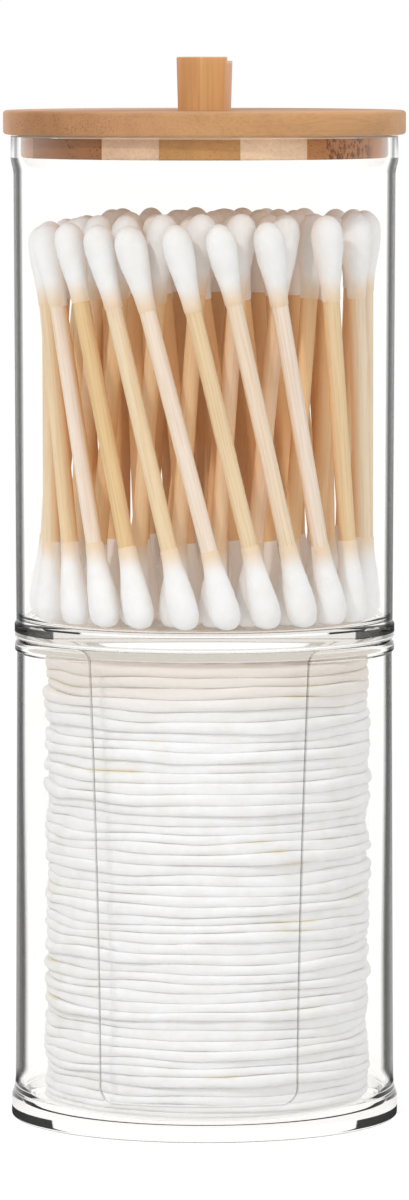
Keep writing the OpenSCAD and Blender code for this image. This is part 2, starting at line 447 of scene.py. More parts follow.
def surface(tree, colour, height, strength, depth_m, settings):
    """A surface with fine relief, and any other settings of its shader."""
    relief = {"Height": height, "Strength": strength, "Distance": depth_m}
    bump = add_node(tree, "Bump", relief).outputs[0]
    inputs = {"Base Color": colour, "Normal": bump, **settings}
    output(tree, add_node(tree, "BsdfPrincipled", inputs).outputs[0])


# A painted glow of the inner buds, standing in for light that reaches them through the others
COTTON_PAINTED_GLOW = 0.07
COTTON_WARM = (0.91, 0.90, 0.88)
COTTON_WHITE = (0.94, 0.94, 0.94)


def bud_tone(tree, tone):
    """Cotton that thins out over the stick, and deep inside is painted warmer and given a
    painted glow, for light that bounces through the bundle.
    """
    thin = map_range(tree, mesh_value(tree, "skirt")["Fac"], 0.68, 1.03)
    tone = mix_colour(tree, thin, tone, from_srgb(240, 214, 182))
    painted_bounce = painted_bounce_mask(tree, *BUDS_PAINTED_BOUNCE)
    tone = mix_colour(tree, painted_bounce, tone, from_srgb(246, 238, 230))
    return tone, math_node(tree, "MULTIPLY", painted_bounce, COTTON_PAINTED_GLOW)


def pad_tone(tree, tone):
    """Cotton with a painted warm shade under the upper cup, and faint painted shade in
    patches of the grooves between the pads.
    """
    shade = map_range(tree, height_mm(tree), PAD_PAINTED_SHADE_LOW, PAD_PAINTED_SHADE_HIGH, 0.0, 0.9)
    tone = mix_colour(tree, shade, tone, from_srgb(236, 226, 216))
    clouds = noise(tree, place(tree, (55, 55, 150)), detail=2.0)
    patches = map_range(tree, clouds, 0.60, 0.74)
    groove_shade = math_node(tree, "MULTIPLY", mesh_value(tree, "groove")["Fac"], patches)
    return mix_colour(tree, groove_shade, tone, from_srgb(236, 226, 200)), 0.0


def cotton(name, toned, attribute=None):
    """Loose white cotton: soft clumps, fine fibres and a little sheen. Toned turns its
    plain tone into its last one, and gives its painted glow. The attribute holds coordinates."""
    material, tree = new_material(name)
    clumps = noise(tree, place(tree, (260,) * 3, attribute), detail=2.0)
    plain = ramp(tree, clumps, [(0.35, COTTON_WARM), (0.62, COTTON_WHITE)])
    tone, glow = toned(tree, plain)
    fibres = noise(tree, place(tree, (2600, 2600, 4200), attribute), detail=4.0)
    tufts = noise(tree, place(tree, (900,) * 3, attribute), detail=2.0)
    height = math_node(tree, "MULTIPLY_ADD", tufts, 1.6, fibres)
    settings = {
        "Roughness": 0.95,
        "Specular IOR Level": 0.15,
        "Sheen Weight": 0.12,
        "Sheen Roughness": 0.6,
        "Emission Color": tone,
        "Emission Strength": glow,
    }
    surface(tree, tone, height, 0.5, 0.00012, settings)
    return material


def wood_surface(tree, colour, height, roughness=0.5):
    settings = {"Roughness": roughness, "Specular IOR Level": 0.3}
    surface(tree, colour, height, 0.35, 0.00008, settings)


def stick_wood():
    """Pale split bamboo with its grain along the stick, painted warmer and paler deep in
    the bundle as bounce light.
    """
    material, tree = new_material("stick_bamboo")
    tone = noise(tree, place(tree, (60, 60, 6), "grain"), detail=1.0)
    base = ramp(
        tree,
        tone,
        [
            (0.30, from_srgb(230, 194, 138)),
            (0.42, from_srgb(236, 208, 163)),
            (0.55, from_srgb(240, 218, 182)),
            (0.66, from_srgb(245, 229, 212)),
        ],
    )
    streaks = noise(tree, place(tree, (3200, 3200, 70), "grain"), detail=3.0)
    streak_tint = ramp(
        tree, streaks, [(0.30, from_srgb(206, 168, 124)), (0.55, (1.0, 1.0, 1.0))]
    )
    colour = mix_colour(tree, 0.30, base, streak_tint, "MULTIPLY")
    painted_bounce = painted_bounce_mask(tree, *STICKS_PAINTED_BOUNCE)
    colour = mix_colour(tree, painted_bounce, colour, from_srgb(252, 210, 156))
    wood_surface(tree, colour, streaks, 0.6)
    return material


KNOT_FADE = 1.5

# Sizes of the dark fibre bundles, as shares of the room between them
BUNDLE_CORE = 0.16
BUNDLE_REACH = 0.36


def bundles(tree, vector):
    """Dark fibre bundles of bamboo: dots across the grain and streaks along it."""
    cells = add_node(
        tree, "TexVoronoi", {"Vector": vector, "Scale": 1.0, "Randomness": 1.0}
    )
    return ramp(tree, cells.outputs["Distance"], [(BUNDLE_CORE, 1.0), (BUNDLE_REACH, 0.0)])


def knotted(tree, colour, side, knots):
    """The colour with dark knots between two places across the board."""
    start, end = knots
    zone = math_node(
        tree,
        "MULTIPLY",
        map_range(tree, side, start, start + KNOT_FADE),
        map_range(tree, side, end, end - KNOT_FADE),
    )
    lumps = noise(tree, place(tree, (1500, 300, 650)), detail=3.0, roughness=0.7)
    knot = math_node(tree, "MULTIPLY", zone, map_range(tree, lumps, 0.47, 0.57))
    knot = math_node(tree, "MULTIPLY", knot, 0.85)
    return mix_colour(tree, knot, colour, from_srgb(108, 50, 20))


def bamboo(
    name, grain, across, strips, blend="CONSTANT", knots=None, ends=(0.35, 0.85), fine=2100
):
    """Laminated bamboo. Grain and across are directions; each strip is the place in mm
    where it starts across the board, its tone, and how strongly its fibre ends show. Knots
    are the places in mm between which it is knotty. Ends says how squarely a face cuts the
    grain before its ends show, and fine how close they lie."""
    material, tree = new_material(name)
    coords = add_node(tree, "TexCoord").outputs
    in_mm = vector_node(tree, "MULTIPLY", coords["Object"], (1 / MM,) * 3)
    side = vector_node(tree, "DOT_PRODUCT", in_mm, across, "Value")
    low, high = strips[0][0], -strips[0][0]
    share = math_node(tree, "MULTIPLY_ADD", side, 1 / (high - low), -low / (high - low))
    places = [(start - low) / (high - low) for start, _, _ in strips]
    tone = ramp(tree, share, [(at, s[1]) for at, s in zip(places, strips)], blend)
    dots = ramp(tree, share, [(at, s[2]) for at, s in zip(places, strips)], blend)
    cloud = noise(tree, stretched(tree, grain, 14, 190), detail=3.0)
    shade = ramp(tree, cloud, [(0.28, (0.87, 0.85, 0.83)), (0.66, (1.05, 1.05, 1.05))])
    colour = mix_colour(tree, 1.0, tone, shade, "MULTIPLY")
    lines = noise(tree, stretched(tree, grain, 25, 2600), detail=2.0)
    line_tint = ramp(tree, lines, [(0.34, (0.90, 0.87, 0.84)), (0.56, (1.0, 1.0, 1.0))])
    colour = mix_colour(tree, 0.8, colour, line_tint, "MULTIPLY")
    spots = bundles(tree, stretched(tree, grain, 60, fine))
    end_on = vector_node(tree, "DOT_PRODUCT", coords["Normal"], grain, "Value")
    end_share = map_range(tree, math_node(tree, "ABSOLUTE", end_on), *ends)
    clusters = map_range(tree, noise(tree, stretched(tree, grain, 40, 330)), 0.38, 0.60)
    spot_share = math_node(tree, "MULTIPLY", spots, dots)
    spot_share = math_node(tree, "MULTIPLY", spot_share, end_share)
    spot_share = math_node(tree, "MULTIPLY", spot_share, clusters)
    colour = mix_colour(tree, spot_share, colour, from_srgb(96, 58, 32))
    if knots:
        colour = knotted(tree, colour, side, knots)
    wood_surface(tree, colour, spots)
    return material


SLANT = math.sqrt(0.5)
bamboo_disc = bamboo(
    "bamboo_disc",
    (SLANT, SLANT, 0.0),
    (-SLANT, SLANT, 0.0),
    [
        (-36, from_srgb(212, 162, 112), 0.3),
        (-26, from_srgb(206, 156, 108), 0.4),
        (-16, from_srgb(196, 146, 104), 0.5),
        (-6, from_srgb(190, 140, 96), 0.8),
        (5, from_srgb(176, 124, 80), 1.0),
        (12, from_srgb(188, 136, 92), 1.0),
        (19, from_srgb(212, 160, 118), 0.4),
    ],
    "LINEAR",
    ends=(0.84, 0.97),
    fine=3000,
)
bamboo_plug = bamboo(
    "bamboo_plug",
    (0.0, 1.0, 0.0),
    (1.0, 0.0, 0.0),
    [
        (-34, from_srgb(200, 144, 102), 0.1),
        (-28.7, from_srgb(162, 110, 68), 1.0),
        (-16.5, from_srgb(230, 194, 162), 0.15),
        (-6.9, from_srgb(200, 148, 90), 0.2),
        (7.1, from_srgb(242, 208, 174), 0.1),
        (18.2, from_srgb(192, 130, 76), 0.35),
        (30.3, from_srgb(188, 146, 112), 0.1),
    ],
    knots=(20.5, 29.5),
    fine=1500,
)
bamboo_knob = bamboo(
    "bamboo_knob",
    (0.0, 0.0, 1.0),
    (1.0, 0.0, 0.0),
    [
        (-6, from_srgb(200, 166, 134), 0.1),
        (-4.2, from_srgb(228, 166, 106), 0.1),
        (-3.4, from_srgb(214, 160, 106), 0.1),
        (-2.4, from_srgb(224, 170, 114), 0.1),
        (-0.62, from_srgb(228, 174, 118), 0.1),
        (-0.45, from_srgb(242, 198, 146), 0.1),
        (-0.28, from_srgb(230, 180, 122), 0.1),
        (3.4, from_srgb(232, 178, 120), 0.1),
        # The pale pink at the right-hand edge is a painted highlight, as if lit from the right
        (4.3, from_srgb(242, 200, 166), 0.1),
    ],
    "LINEAR",
)
stick_bamboo = stick_wood()
swab_cotton = cotton("swab_cotton", bud_tone, "grain")
pad_cotton = cotton("pad_cotton", pad_tone)


def new_piece(name, points, faces, materials, face_slots=None, smooth_deg=35):
    """An object of a mesh given in mm, with shading edges where it turns sharply."""
    mesh = bpy.data.meshes.new(name)
    mesh.from_pydata((np.asarray(points) * MM).tolist(), [], faces)
    for material in materials:
        mesh.materials.append(material)
    if face_slots is not None:
        mesh.polygons.foreach_set("material_index", face_slots)
    mesh.polygons.foreach_set("use_smooth", [True] * len(mesh.polygons))
    mesh.set_sharp_from_angle(angle=math.radians(smooth_deg))
    mesh.update()
    obj = bpy.data.objects.new(name, mesh)
    bpy.context.scene.collection.objects.link(obj)
    return obj


def dress(obj, body, nodes):
    """Ties a finished piece to its body and hides its CAD nodes."""
    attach(obj, body)
    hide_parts(*nodes)
    return obj


def arc(centre, r, start_deg, end_deg, steps=ARC_STEPS):
    """Points of an arc from one angle to another."""
    angles = np.radians(np.linspace(start_deg, end_deg, steps + 1))
    return [
        (centre[0] + r * math.cos(a), centre[1] + r * math.sin(a)) for a in angles
    ]


def grid_faces(rows, columns, start=0, closed=False, flip=False):
    """Quads between rows of points that are stored one row after another."""
    faces = []
    last = columns if closed else columns - 1
    for row in range(rows - 1):
        for column in range(last):
            after = (column + 1) % columns
            a = start + row * columns + column
            b = start + row * columns + after
            c = b + columns
            d = a + columns
            faces.append((a, d, c, b) if flip else (a, b, c, d))
    return faces


def lathe(section, segments=SEGMENTS):
    """Points and faces of an (r, z) outline turned round Z. Its ends lie on the axis.
    Also gives, for each face, the place in the outline where it starts."""
    angles = np.linspace(0, 2 * math.pi, segments, endpoint=False)
    middle = section[1:-1]
    points = [(0.0, 0.0, section[0][1])]
    for r, z in middle:
        points += [(r * math.cos(a), r * math.sin(a), z) for a in angles]
    points.append((0.0, 0.0, section[-1][1]))
    top = len(points) - 1
    last_ring = top - segments
    fan = [(0, 1 + (j + 1) % segments, 1 + j) for j in range(segments)]
    sides = grid_faces(len(middle), segments, 1, closed=True)
    cap = [(top, last_ring + j, last_ring + (j + 1) % segments) for j in range(segments)]
    spans = [0] * segments
    for row in range(len(middle) - 1):
        spans += [row + 1] * segments
    spans += [len(section) - 2] * segments
    return points, fan + sides + cap, spans


def lower_outside():
    """Outside of the lower cup as (r, z), upwards from its bottom edge."""
    flare = [
        (lower_r + FOOT_OUT * (1 - t) ** 2, FOOT_H + FLARE_H * t)
        for t in np.linspace(0, 1, ARC_STEPS + 1)[1:]
    ]
    return (
        arc((foot_r - FOOT_EDGE_R, FOOT_EDGE_R), FOOT_EDGE_R, -90, 0)
        + [(foot_r, FOOT_BAR_TOP), (foot_r, FOOT_H)]
        + flare
        + [(lower_top_r, lower_h - RIM_H), (rim_r, lower_h - RIM_H + RIM_OUT)]
        + arc((rim_r - RIM_EDGE_R, lower_h - RIM_EDGE_R), RIM_EDGE_R, 0, 90, 12)
    )


def lower_inside():
    """Inside of the lower cup as (r, z), upwards from its floor."""
    corner_r = lower_r - WALL - LOWER_CORNER_R
    edge_r = RIM_INNER_EDGE_R
    return arc(
        (corner_r, LOWER_FLOOR + LOWER_CORNER_R), LOWER_CORNER_R, -90, 0
    ) + arc((lower_top_inner_r + edge_r, lower_h - edge_r), edge_r, 180, 90)


def radius_at(outline, z):
    """Radius of an upward (r, z) outline at a height."""
    rs, zs = zip(*outline)
    return float(np.interp(z, zs, rs))


def slot_outline():
    """Right edge of the slot from its floor up to the rim. Each entry is a place (x, z),
    the direction into the wall there and the radius that rounds the edge."""
    low = SLOT_FLOOR_Z + SLOT_CORNER_R
    high = lower_h - SLOT_MOUTH_R
    spread = (SLOT_TOP_W - SLOT_BOTTOM_W) / 2
    edge = []
    for a in np.radians(np.linspace(-90, 0, 9)):
        out = np.array([math.cos(a), math.sin(a)])
        centre = np.array([SLOT_BOTTOM_W / 2 - SLOT_CORNER_R, low])
        edge.append((centre + SLOT_CORNER_R * out, out, SLOT_EDGE_R))
    for t in np.linspace(0, 1, 25)[1:-1]:
        x = SLOT_BOTTOM_W / 2 + spread * t**SLOT_SPREAD
        lean = spread * SLOT_SPREAD * t ** (SLOT_SPREAD - 1) / (high - low)
        out = np.array([1.0, -lean]) / math.hypot(1.0, lean)
        edge.append((np.array([x, low + (high - low) * t]), out, SLOT_EDGE_R))
    for a in np.radians(np.linspace(180, 90, 17)):
        out = np.array([-math.cos(a), -math.sin(a)])
        centre = np.array([SLOT_TOP_W / 2 + SLOT_MOUTH_R, high])
        edge.append((centre - SLOT_MOUTH_R * out, out, SLOT_EDGE_R * abs(math.cos(a))))
    return edge


def on_wall(outline, x, z):
    """The point of a wall's front that lies at x and z."""
    r = radius_at(outline, z)
    return np.array([x, -math.sqrt(max(r * r - x * x, 0.0)), z])


def bend(first, corner, last, steps=4):
    """Points of a curve that rounds a corner."""
    return [
        (1 - t) ** 2 * first + 2 * t * (1 - t) * corner + t * t * last
        for t in np.linspace(0, 1, steps + 1)
    ]


def slot_column(outside, inside, entry, mirrored=False):
    """Points across the wall at one place of the slot's edge, outside to inside."""
    spot, out, edge_r = entry
    eased = spot + edge_r * out
    corner_out = on_wall(outside, *spot)
    corner_in = on_wall(inside, *spot)
    depth = min(SLOT_EDGE_R, 0.4 * (corner_in[1] - corner_out[1])) * np.array([0, 1, 0])
    column = bend(on_wall(outside, *eased), corner_out, corner_out + depth)
    column += bend(corner_in - depth, corner_in, on_wall(inside, *eased))
    column = np.array(column)
    if mirrored:
        column[:, 0] *= -1
    return column


def turned(r, angles, z):
    """Ring points; an angle of 0 faces -Y and angles grow towards +X."""
    return np.column_stack([r * np.sin(angles), -r * np.cos(angles), np.full(len(angles), z)])


class Patches:
    """Collects grids of points and joins them into one closed mesh."""

    def __init__(self):
        self.points, self.faces, self.slots = [], [], []

    def grid(self, rows, slot, flip=False, closed=False):
        start = len(self.points)
        columns = len(rows[0])
        for row in rows:
            self.points.extend(np.asarray(row).tolist())
        made = grid_faces(len(rows), columns, start, closed, flip)
        self.faces += made
        self.slots += [slot] * len(made)

    def fan(self, ring, centre, slot, flip=False):
        start = len(self.points)
        self.points.extend(np.asarray(ring).tolist())
        self.points.append(list(centre))
        count = len(ring)
        for j in range(count):
            pair = (start + j, start + (j + 1) % count)
            self.faces.append((start + count, *(pair[::-1] if flip else pair)))
            self.slots.append(slot)

    def piece(self, name, materials, smooth_deg=35):
        obj = new_piece(name, self.points, self.faces, materials, self.slots, smooth_deg)
        joined = bmesh.new()
        joined.from_mesh(obj.data)
        bmesh.ops.remove_doubles(joined, verts=joined.verts, dist=2e-4 * MM)
        joined.to_mesh(obj.data)
        joined.free()
        obj.data.set_sharp_from_angle(angle=math.radians(smooth_deg))
        return obj


BODY_SEGMENTS = 220
SLOT_FLOOR_SEGMENTS = 36

# Material slots: three of both cups, then one more of the lower and three of the upper
PLAIN, WALL_SLOT, BAR_SLOT = range(3)
EDGE_SLOT = 3
MOUTH_SLOT, STEP_SLOT, RIM_SLOT = range(3, 6)


def make_lower_cup():
    """The lower cup, whose rings of points start and end at the slot's edge."""
    outside, inside = lower_outside(), lower_inside()
    edge = slot_outline()
    floor_xs = np.linspace(-edge[0][0][0], edge[0][0][0], SLOT_FLOOR_SEGMENTS + 1)[1:-1]
    sill_z = SLOT_FLOOR_Z - SLOT_EDGE_R
    patches = Patches()

    def body_angles(outline, entry):
        x, z = entry[0] + entry[2] * entry[1]
        start = math.asin(x / radius_at(outline, z))
        return np.linspace(start, 2 * math.pi - start, BODY_SEGMENTS + 1)

    def full_angles(outline):
        front = np.arcsin(floor_xs / radius_at(outline, sill_z))
        return np.concatenate([body_angles(outline, edge[0]), 2 * math.pi + front])

    angles_out, angles_in = full_angles(outside), full_angles(inside)
    below = [(r, z) for r, z in outside if z < sill_z] + [
        (radius_at(outside, sill_z), sill_z)
    ]
    rings = [turned(r, angles_out, z) for r, z in below]
    patches.fan(rings[0], (0, 0, 0), PLAIN, flip=True)
    arc_rows = sum(1 for r, z in below if z < FOOT_BAR_LOW) + 1
    bar_rows = sum(1 for r, z in below if z < FOOT_BAR_TOP + 0.01)
    patches.grid(rings[:arc_rows], PLAIN, closed=True)
    patches.grid(rings[arc_rows - 1 : bar_rows], BAR_SLOT, closed=True)
    patches.grid(rings[bar_rows - 1 :], PLAIN, closed=True)
    floor_rings = [(r, z) for r, z in inside if z < sill_z] + [
        (radius_at(inside, sill_z), sill_z)
    ]
    rings = [turned(r, angles_in, z) for r, z in floor_rings]
    patches.fan(rings[0], (0, 0, LOWER_FLOOR), PLAIN)
    patches.grid(rings, PLAIN, flip=True, closed=True)

    for outline, flip in ((outside, False), (inside, True)):
        rows = []
        for entry in edge:
            z = (entry[0] + entry[2] * entry[1])[1]
            rows.append(turned(radius_at(outline, z), body_angles(outline, entry), z))
        if flip:
            patches.grid(rows, PLAIN, flip=True)
            continue
        flare = sum(1 for row in rows if row[0][2] < WALL_DARK_LOW)
        upright = sum(1 for row in rows if row[0][2] < lower_h - RIM_EDGE_R)
        patches.grid(rows[: flare + 1], PLAIN)
        patches.grid(rows[flare:upright], WALL_SLOT)
        patches.grid(rows[upright - 1 :], PLAIN)

    right = [slot_column(outside, inside, entry) for entry in edge]
    left = [slot_column(outside, inside, entry, mirrored=True) for entry in edge]
    down = np.array([0.0, -1.0])
    sill = [
        slot_column(outside, inside, (np.array([x, SLOT_FLOOR_Z]), down, SLOT_EDGE_R))
        for x in floor_xs
    ]
    across = left[::-1] + sill + right
    rounded = len(bend(*np.zeros((3, 3))))
    patches.grid([column[:rounded] for column in across], EDGE_SLOT, flip=True)
    patches.grid([column[rounded - 1 : -rounded + 1] for column in across], PLAIN, flip=True)
    patches.grid([column[-rounded:] for column in across], EDGE_SLOT, flip=True)

    ends = right[-1]
    outer = turned(math.hypot(*ends[0][:2]), body_angles(outside, edge[-1]), lower_h)
    inner = turned(math.hypot(*ends[-1][:2]), body_angles(inside, edge[-1]), lower_h)
    shares = (ends[:, 1] - ends[0, 1]) / (ends[-1, 1] - ends[0, 1])
    patches.grid([outer + (inner - outer) * s for s in shares], PLAIN)
    materials = [clear_plain, clear_lower_wall, clear_foot_bar, clear_cut_edge]
    cup = patches.piece("lower_cup_clear", materials)
    return dress(cup, "lower", ["lower_cup"])


def mouth_swell(r):
    """The upper wall's swell below its mouth, from a wall at radius r."""
    return [
        (
            r + MOUTH_OUT * (1 - math.cos(math.pi * t)) / 2,
            upper_h - plug_h - MOUTH_RISE * (1 - t),
        )
        for t in np.linspace(0, 1, ARC_STEPS + 1)
    ]


def make_upper_cup():
    """The upper cup, turned from its section, with the step under its floor."""
    upper_inner_r = upper_r - WALL
    corner_r = upper_inner_r - UPPER_CORNER_R
    underside = [(0, -step_h)] + arc(
        (step_r - STEP_EDGE_R, STEP_EDGE_R - step_h), STEP_EDGE_R, -90, 0, 5
    )
    band = (
        [(step_r, SEAT_GAP)]
        + arc((band_r - BAND_EDGE_R, BAND_EDGE_R + SEAT_GAP), BAND_EDGE_R, -90, 0)
        + [(band_r, BAND_BAR_LOW), (band_r, BAND_H), (upper_r, BAND_H + BAND_OUT)]
    )
    wall = mouth_swell(upper_top_r)
    rim = arc((mouth_r - WALL_EDGE_R, upper_h - WALL_EDGE_R), WALL_EDGE_R, 0, 90)
    rim += arc(
        (mouth_r - WALL + WALL_EDGE_R, upper_h - WALL_EDGE_R), WALL_EDGE_R, 90, 180
    )
    hollow = mouth_swell(upper_top_r - WALL)[::-1] + arc(
        (corner_r, UPPER_FLOOR + UPPER_CORNER_R), UPPER_CORNER_R, 0, -90
    )
    section = underside + band + wall + rim + hollow + [(0, UPPER_FLOOR)]
    section = [(r, z + upper_z) for r, z in section]
    points, faces, spans = lathe(section)
    band_start = len(underside)
    wall_start = band_start + len(band) - 1
    rim_start = wall_start + len(wall) + 1
    slots = []
    for span in spans:
        if span == wall_start - 2:
            slots.append(BAR_SLOT)
        elif 1 <= span <= len(underside):
            slots.append(STEP_SLOT)
        elif rim_start <= span < rim_start + ARC_STEPS:
            slots.append(RIM_SLOT)
        elif wall_start - 1 <= span < wall_start + len(wall):
            slots.append(WALL_SLOT)
        elif span == wall_start + len(wall):
            slots.append(MOUTH_SLOT)
        else:
            slots.append(PLAIN)
    materials = [clear_plain, clear_upper_wall, clear_joint_bar, clear_mouth]
    materials += [clear_step, rim_painted_highlight]
    cup = new_piece("upper_cup_clear", points, faces, materials, slots)
    return dress(cup, "upper", ["upper_cup"])


def make_lid():
    """The lid's disc and plug; the plug's laminate runs across the disc's."""
    plug = arc((plug_r - LID_EDGE_R, lid_z - plug_h + LID_EDGE_R), LID_EDGE_R, -90, 0, 5)
    disc = arc((lid_r - LID_EDGE_R, lid_z + LID_EDGE_R), LID_EDGE_R, -90, 0, 5)
    top_z = lid_high[2]
    disc += arc((lid_r - LID_EDGE_R, top_z - LID_EDGE_R), LID_EDGE_R, 0, 90, 5)
    section = [(0, lid_z - plug_h)] + plug + [(plug_r, lid_z)] + disc + [(0, top_z)]
    points, faces, spans = lathe(section)
    slots = [0 if span <= len(plug) else 1 for span in spans]
    lid = new_piece("lid_bamboo", points, faces, [bamboo_plug, bamboo_disc], slots, 50)
    return dress(lid, "lid", ["lid"])


def make_knob():
    """The knob, a little wider at its top, with the nick in its right-hand edge."""
    top_r = knob_high[0] if knob_high[0] > -knob_low[0] else -knob_low[0]
    foot_radius = top_r - KNOB_FLARE / 2
    low_z, top_z = knob_low[2], knob_high[2]
    sides = [
        (foot_radius + (top_r - foot_radius) * t, low_z + (top_z - KNOB_EDGE_R - low_z) * t)
        for t in np.linspace(0, 1, 9)
    ]
    crown = arc((top_r - KNOB_EDGE_R, top_z - KNOB_EDGE_R), KNOB_EDGE_R, 0, 90, 4)[1:]
    section = [(0, low_z)] + sides + crown + [(0, top_z)]
    points, faces, _ = lathe(section, 96)
    knob = new_piece("knob_bamboo", points, faces, [bamboo_knob], None, 50)
    cutter_low = np.array([top_r - NICK_W, -top_r - 1, top_z - NICK_H])
    cutter_high = np.array([top_r + 1, top_r + 1, top_z + 1])
    corners = [
        [(cutter_low, cutter_high)[i][0], (cutter_low, cutter_high)[j][1], h[2]]
        for h in (cutter_low, cutter_high)
        for i, j in ((0, 0), (1, 0), (1, 1), (0, 1))
    ]
    box_faces = [(3, 2, 1, 0), (4, 5, 6, 7)]
    box_faces += [(j, (j + 1) % 4, 4 + (j + 1) % 4, 4 + j) for j in range(4)]
    cutter = new_piece("knob_nick_tool", corners, box_faces, [bamboo_knob])
    cut = knob.modifiers.new("nick", "BOOLEAN")
    cut.object = cutter
    cut.solver = "EXACT"
    bpy.context.view_layer.update()
    shaped = bpy.data.meshes.new_from_object(
        knob.evaluated_get(bpy.context.evaluated_depsgraph_get())
    )
    knob.modifiers.clear()
    knob.data = shaped
    bpy.data.objects.remove(cutter)
    return dress(knob, "lid", ["knob"])


def islands(mesh):
    """Point sets of a mesh's separate pieces."""
    work = bmesh.new()
    work.from_mesh(mesh)
    bmesh.ops.remove_doubles(work, verts=work.verts, dist=1e-6)
    seen, found = set(), []
    for vert in work.verts:
        if vert in seen:
            continue
        group, todo = [], [vert]
        seen.add(vert)
        while todo:
            here = todo.pop()
            group.append(here.co[:])
            for edge in here.link_edges:
                other = edge.other_vert(here)
                if other not in seen:
                    seen.add(other)
                    todo.append(other)
        found.append(np.array(group) / MM)
    work.free()
    return found


def stick_lines(ring):
    """Foot, direction and length of each stick in a ring, from its CAD solid."""
    lines = []
    for cloud in islands(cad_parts[f"swab_sticks_ring_{ring}"].data):
        centre = (cloud.min(0) + cloud.max(0)) / 2
        axis = np.linalg.svd(cloud - cloud.mean(0))[2][0]
        axis = axis if axis[2] > 0 else -axis
        along = (cloud - centre) @ axis
        lines.append((centre + axis * along.min(), axis, np.ptp(along)))
    return lines


def frame_of(axis, spin):
    """Two directions across an axis, turned about it by spin."""
    side = np.cross(axis, [0.0, 1.0, 0.0])
    side /= np.linalg.norm(side)
    other = np.cross(axis, side)
    return (
        math.cos(spin) * side + math.sin(spin) * other,
        math.cos(spin) * other - math.sin(spin) * side,
    )


def spun(profile, foot, axis, spin, segments, ripple=None):
    """A rod-like shape round an axis, from (distance along, radius) pairs whose ends lie on
    the axis. Gives points, faces and the same points in the rod's own straight frame."""
    side, other = frame_of(axis, spin)
    turn = np.linspace(0, 2 * math.pi, segments, endpoint=False)
    local = [np.array([[0.0, 0.0, profile[0][0]]])]
    for s, r in profile[1:-1]:
        radius = r + (ripple(s, turn) if ripple else 0.0)
        local.append(
            np.column_stack([radius * np.cos(turn), radius * np.sin(turn), np.full(segments, s)])
        )
    local.append(np.array([[0.0, 0.0, profile[-1][0]]]))
    local = np.vstack(local)
    points = foot + local[:, :1] * side + local[:, 1:2] * other + local[:, 2:] * axis
    rows = len(profile) - 2
    top = len(points) - 1
    faces = [(0, 1 + (j + 1) % segments, 1 + j) for j in range(segments)]
    faces += grid_faces(rows, segments, 1, closed=True)
    start = top - segments
    faces += [(top, start + j, start + (j + 1) % segments) for j in range(segments)]
    return points, faces, local


def joined_piece(name, parts, material, smooth_deg=50, skirts=None):
    """One object of several spun shapes, which stores where each point lies on its rod
    and, for buds, its share of the way from the tip to the skirt."""
    points, faces, local, start = [], [], [], 0
    for part_points, part_faces, part_local in parts:
        points.append(part_points)
        faces += [tuple(i + start for i in face) for face in part_faces]
        local.append(part_local)
        start += len(part_points)
    obj = new_piece(name, np.vstack(points), faces, [material], None, smooth_deg)
    stored = obj.data.attributes.new("grain", "FLOAT_VECTOR", "POINT")
    stored.data.foreach_set("vector", (np.vstack(local) * MM).astype(np.float32).ravel())
    if skirts:
        share = obj.data.attributes.new("skirt", "FLOAT", "POINT")
        share.data.foreach_set("value", np.concatenate(skirts).astype(np.float32))
    return obj


def bud_profile(length, nose, radius):
    """A round nose, then a long taper to the skirt, closed inside the stick."""
    skirt_r = STICK_R + BUD_SKIRT / 2
    steps = np.linspace(0, 1, 8)[1:]
    front = [
        (nose * (1 - math.cos(math.pi / 2 * t)), radius * math.sin(math.pi / 2 * t))
        for t in steps
    ]
    taper = [
        (
            nose + (length - nose) * t,
            skirt_r + (radius - skirt_r) * (1 + math.cos(math.pi * t)) / 2,
        )
        for t in np.linspace(0, 1, 15)[1:]
    ]
    last = length + 0.3
    return (
        [(0.0, 0.0)]
        + front
        + taper
        + [(last, STICK_R + 0.02), (last, STICK_R * 0.7), (last, 0.0)]
    )


def bud_ripple(length):
    """Uneven winding of the cotton on one bud."""
    phase = random.uniform(0, 2 * math.pi, 4)
    lobes = random.uniform(0.02, 0.07, 2)
    turns = random.uniform(1.6, 2.6)

    def ripple(s, turn):
        share = min(max(s / length, 0.0), 1.0)
        amount = math.sin(math.pi * min(share * 1.15 + 0.08, 1.0)) if share < 0.94 else 0.1
        wave = lobes[0] * np.sin(2 * turn + phase[0] + 0.25 * s)
        wave += lobes[1] * np.sin(3 * turn + phase[1] - 0.4 * s)
        wind = 0.035 * np.sin(2 * math.pi * s / turns + turn + phase[2])
        lumps = 0.03 * np.sin(5 * turn + 1.1 * s + phase[3])
        return amount * (wave + wind + lumps)

    return ripple


def make_swabs(ring):
    """The sticks and the buds of one ring of swabs."""
    sticks, buds, skirts = [], [], []
    for foot, axis, length in stick_lines(ring):
        far = random.uniform(-500, 500, 3)
        profile = [(0.0, 0.0)]
        profile += [(s, STICK_R) for s in np.linspace(0, length, 7)]
        profile += [(length, 0.0)]
        spin = random.uniform(0, 2 * math.pi)
        points, faces, local = spun(profile, foot, axis, spin, 24)
        sticks.append((points, faces, local + far))
        for end in (0, 1):
            tip = foot - axis * BUD_CAP if end == 0 else foot + axis * (length + BUD_CAP)
            inward = axis if end == 0 else -axis
            bud_length = BUD_L * random.uniform(0.94, 1.04)
            bud = bud_profile(
                bud_length,
                BUD_NOSE * random.uniform(0.94, 1.06),
                BUD_R * random.uniform(0.96, 1.01),
            )
            spin = random.uniform(0, 2 * math.pi)
            points, faces, local = spun(bud, tip, inward, spin, 28, bud_ripple(bud_length))
            buds.append((points, faces, local + far + 90 * end))
            skirts.append(local[:, 2] / bud_length)
    wood = joined_piece(f"swab_sticks_{ring}", sticks, stick_bamboo)
    dress(wood, "upper", [f"swab_sticks_ring_{ring}"])
    tips = joined_piece(f"swab_buds_{ring}", buds, swab_cotton, skirts=skirts)
    dress(tips, "upper", [f"swab_buds_ring_{ring}"])


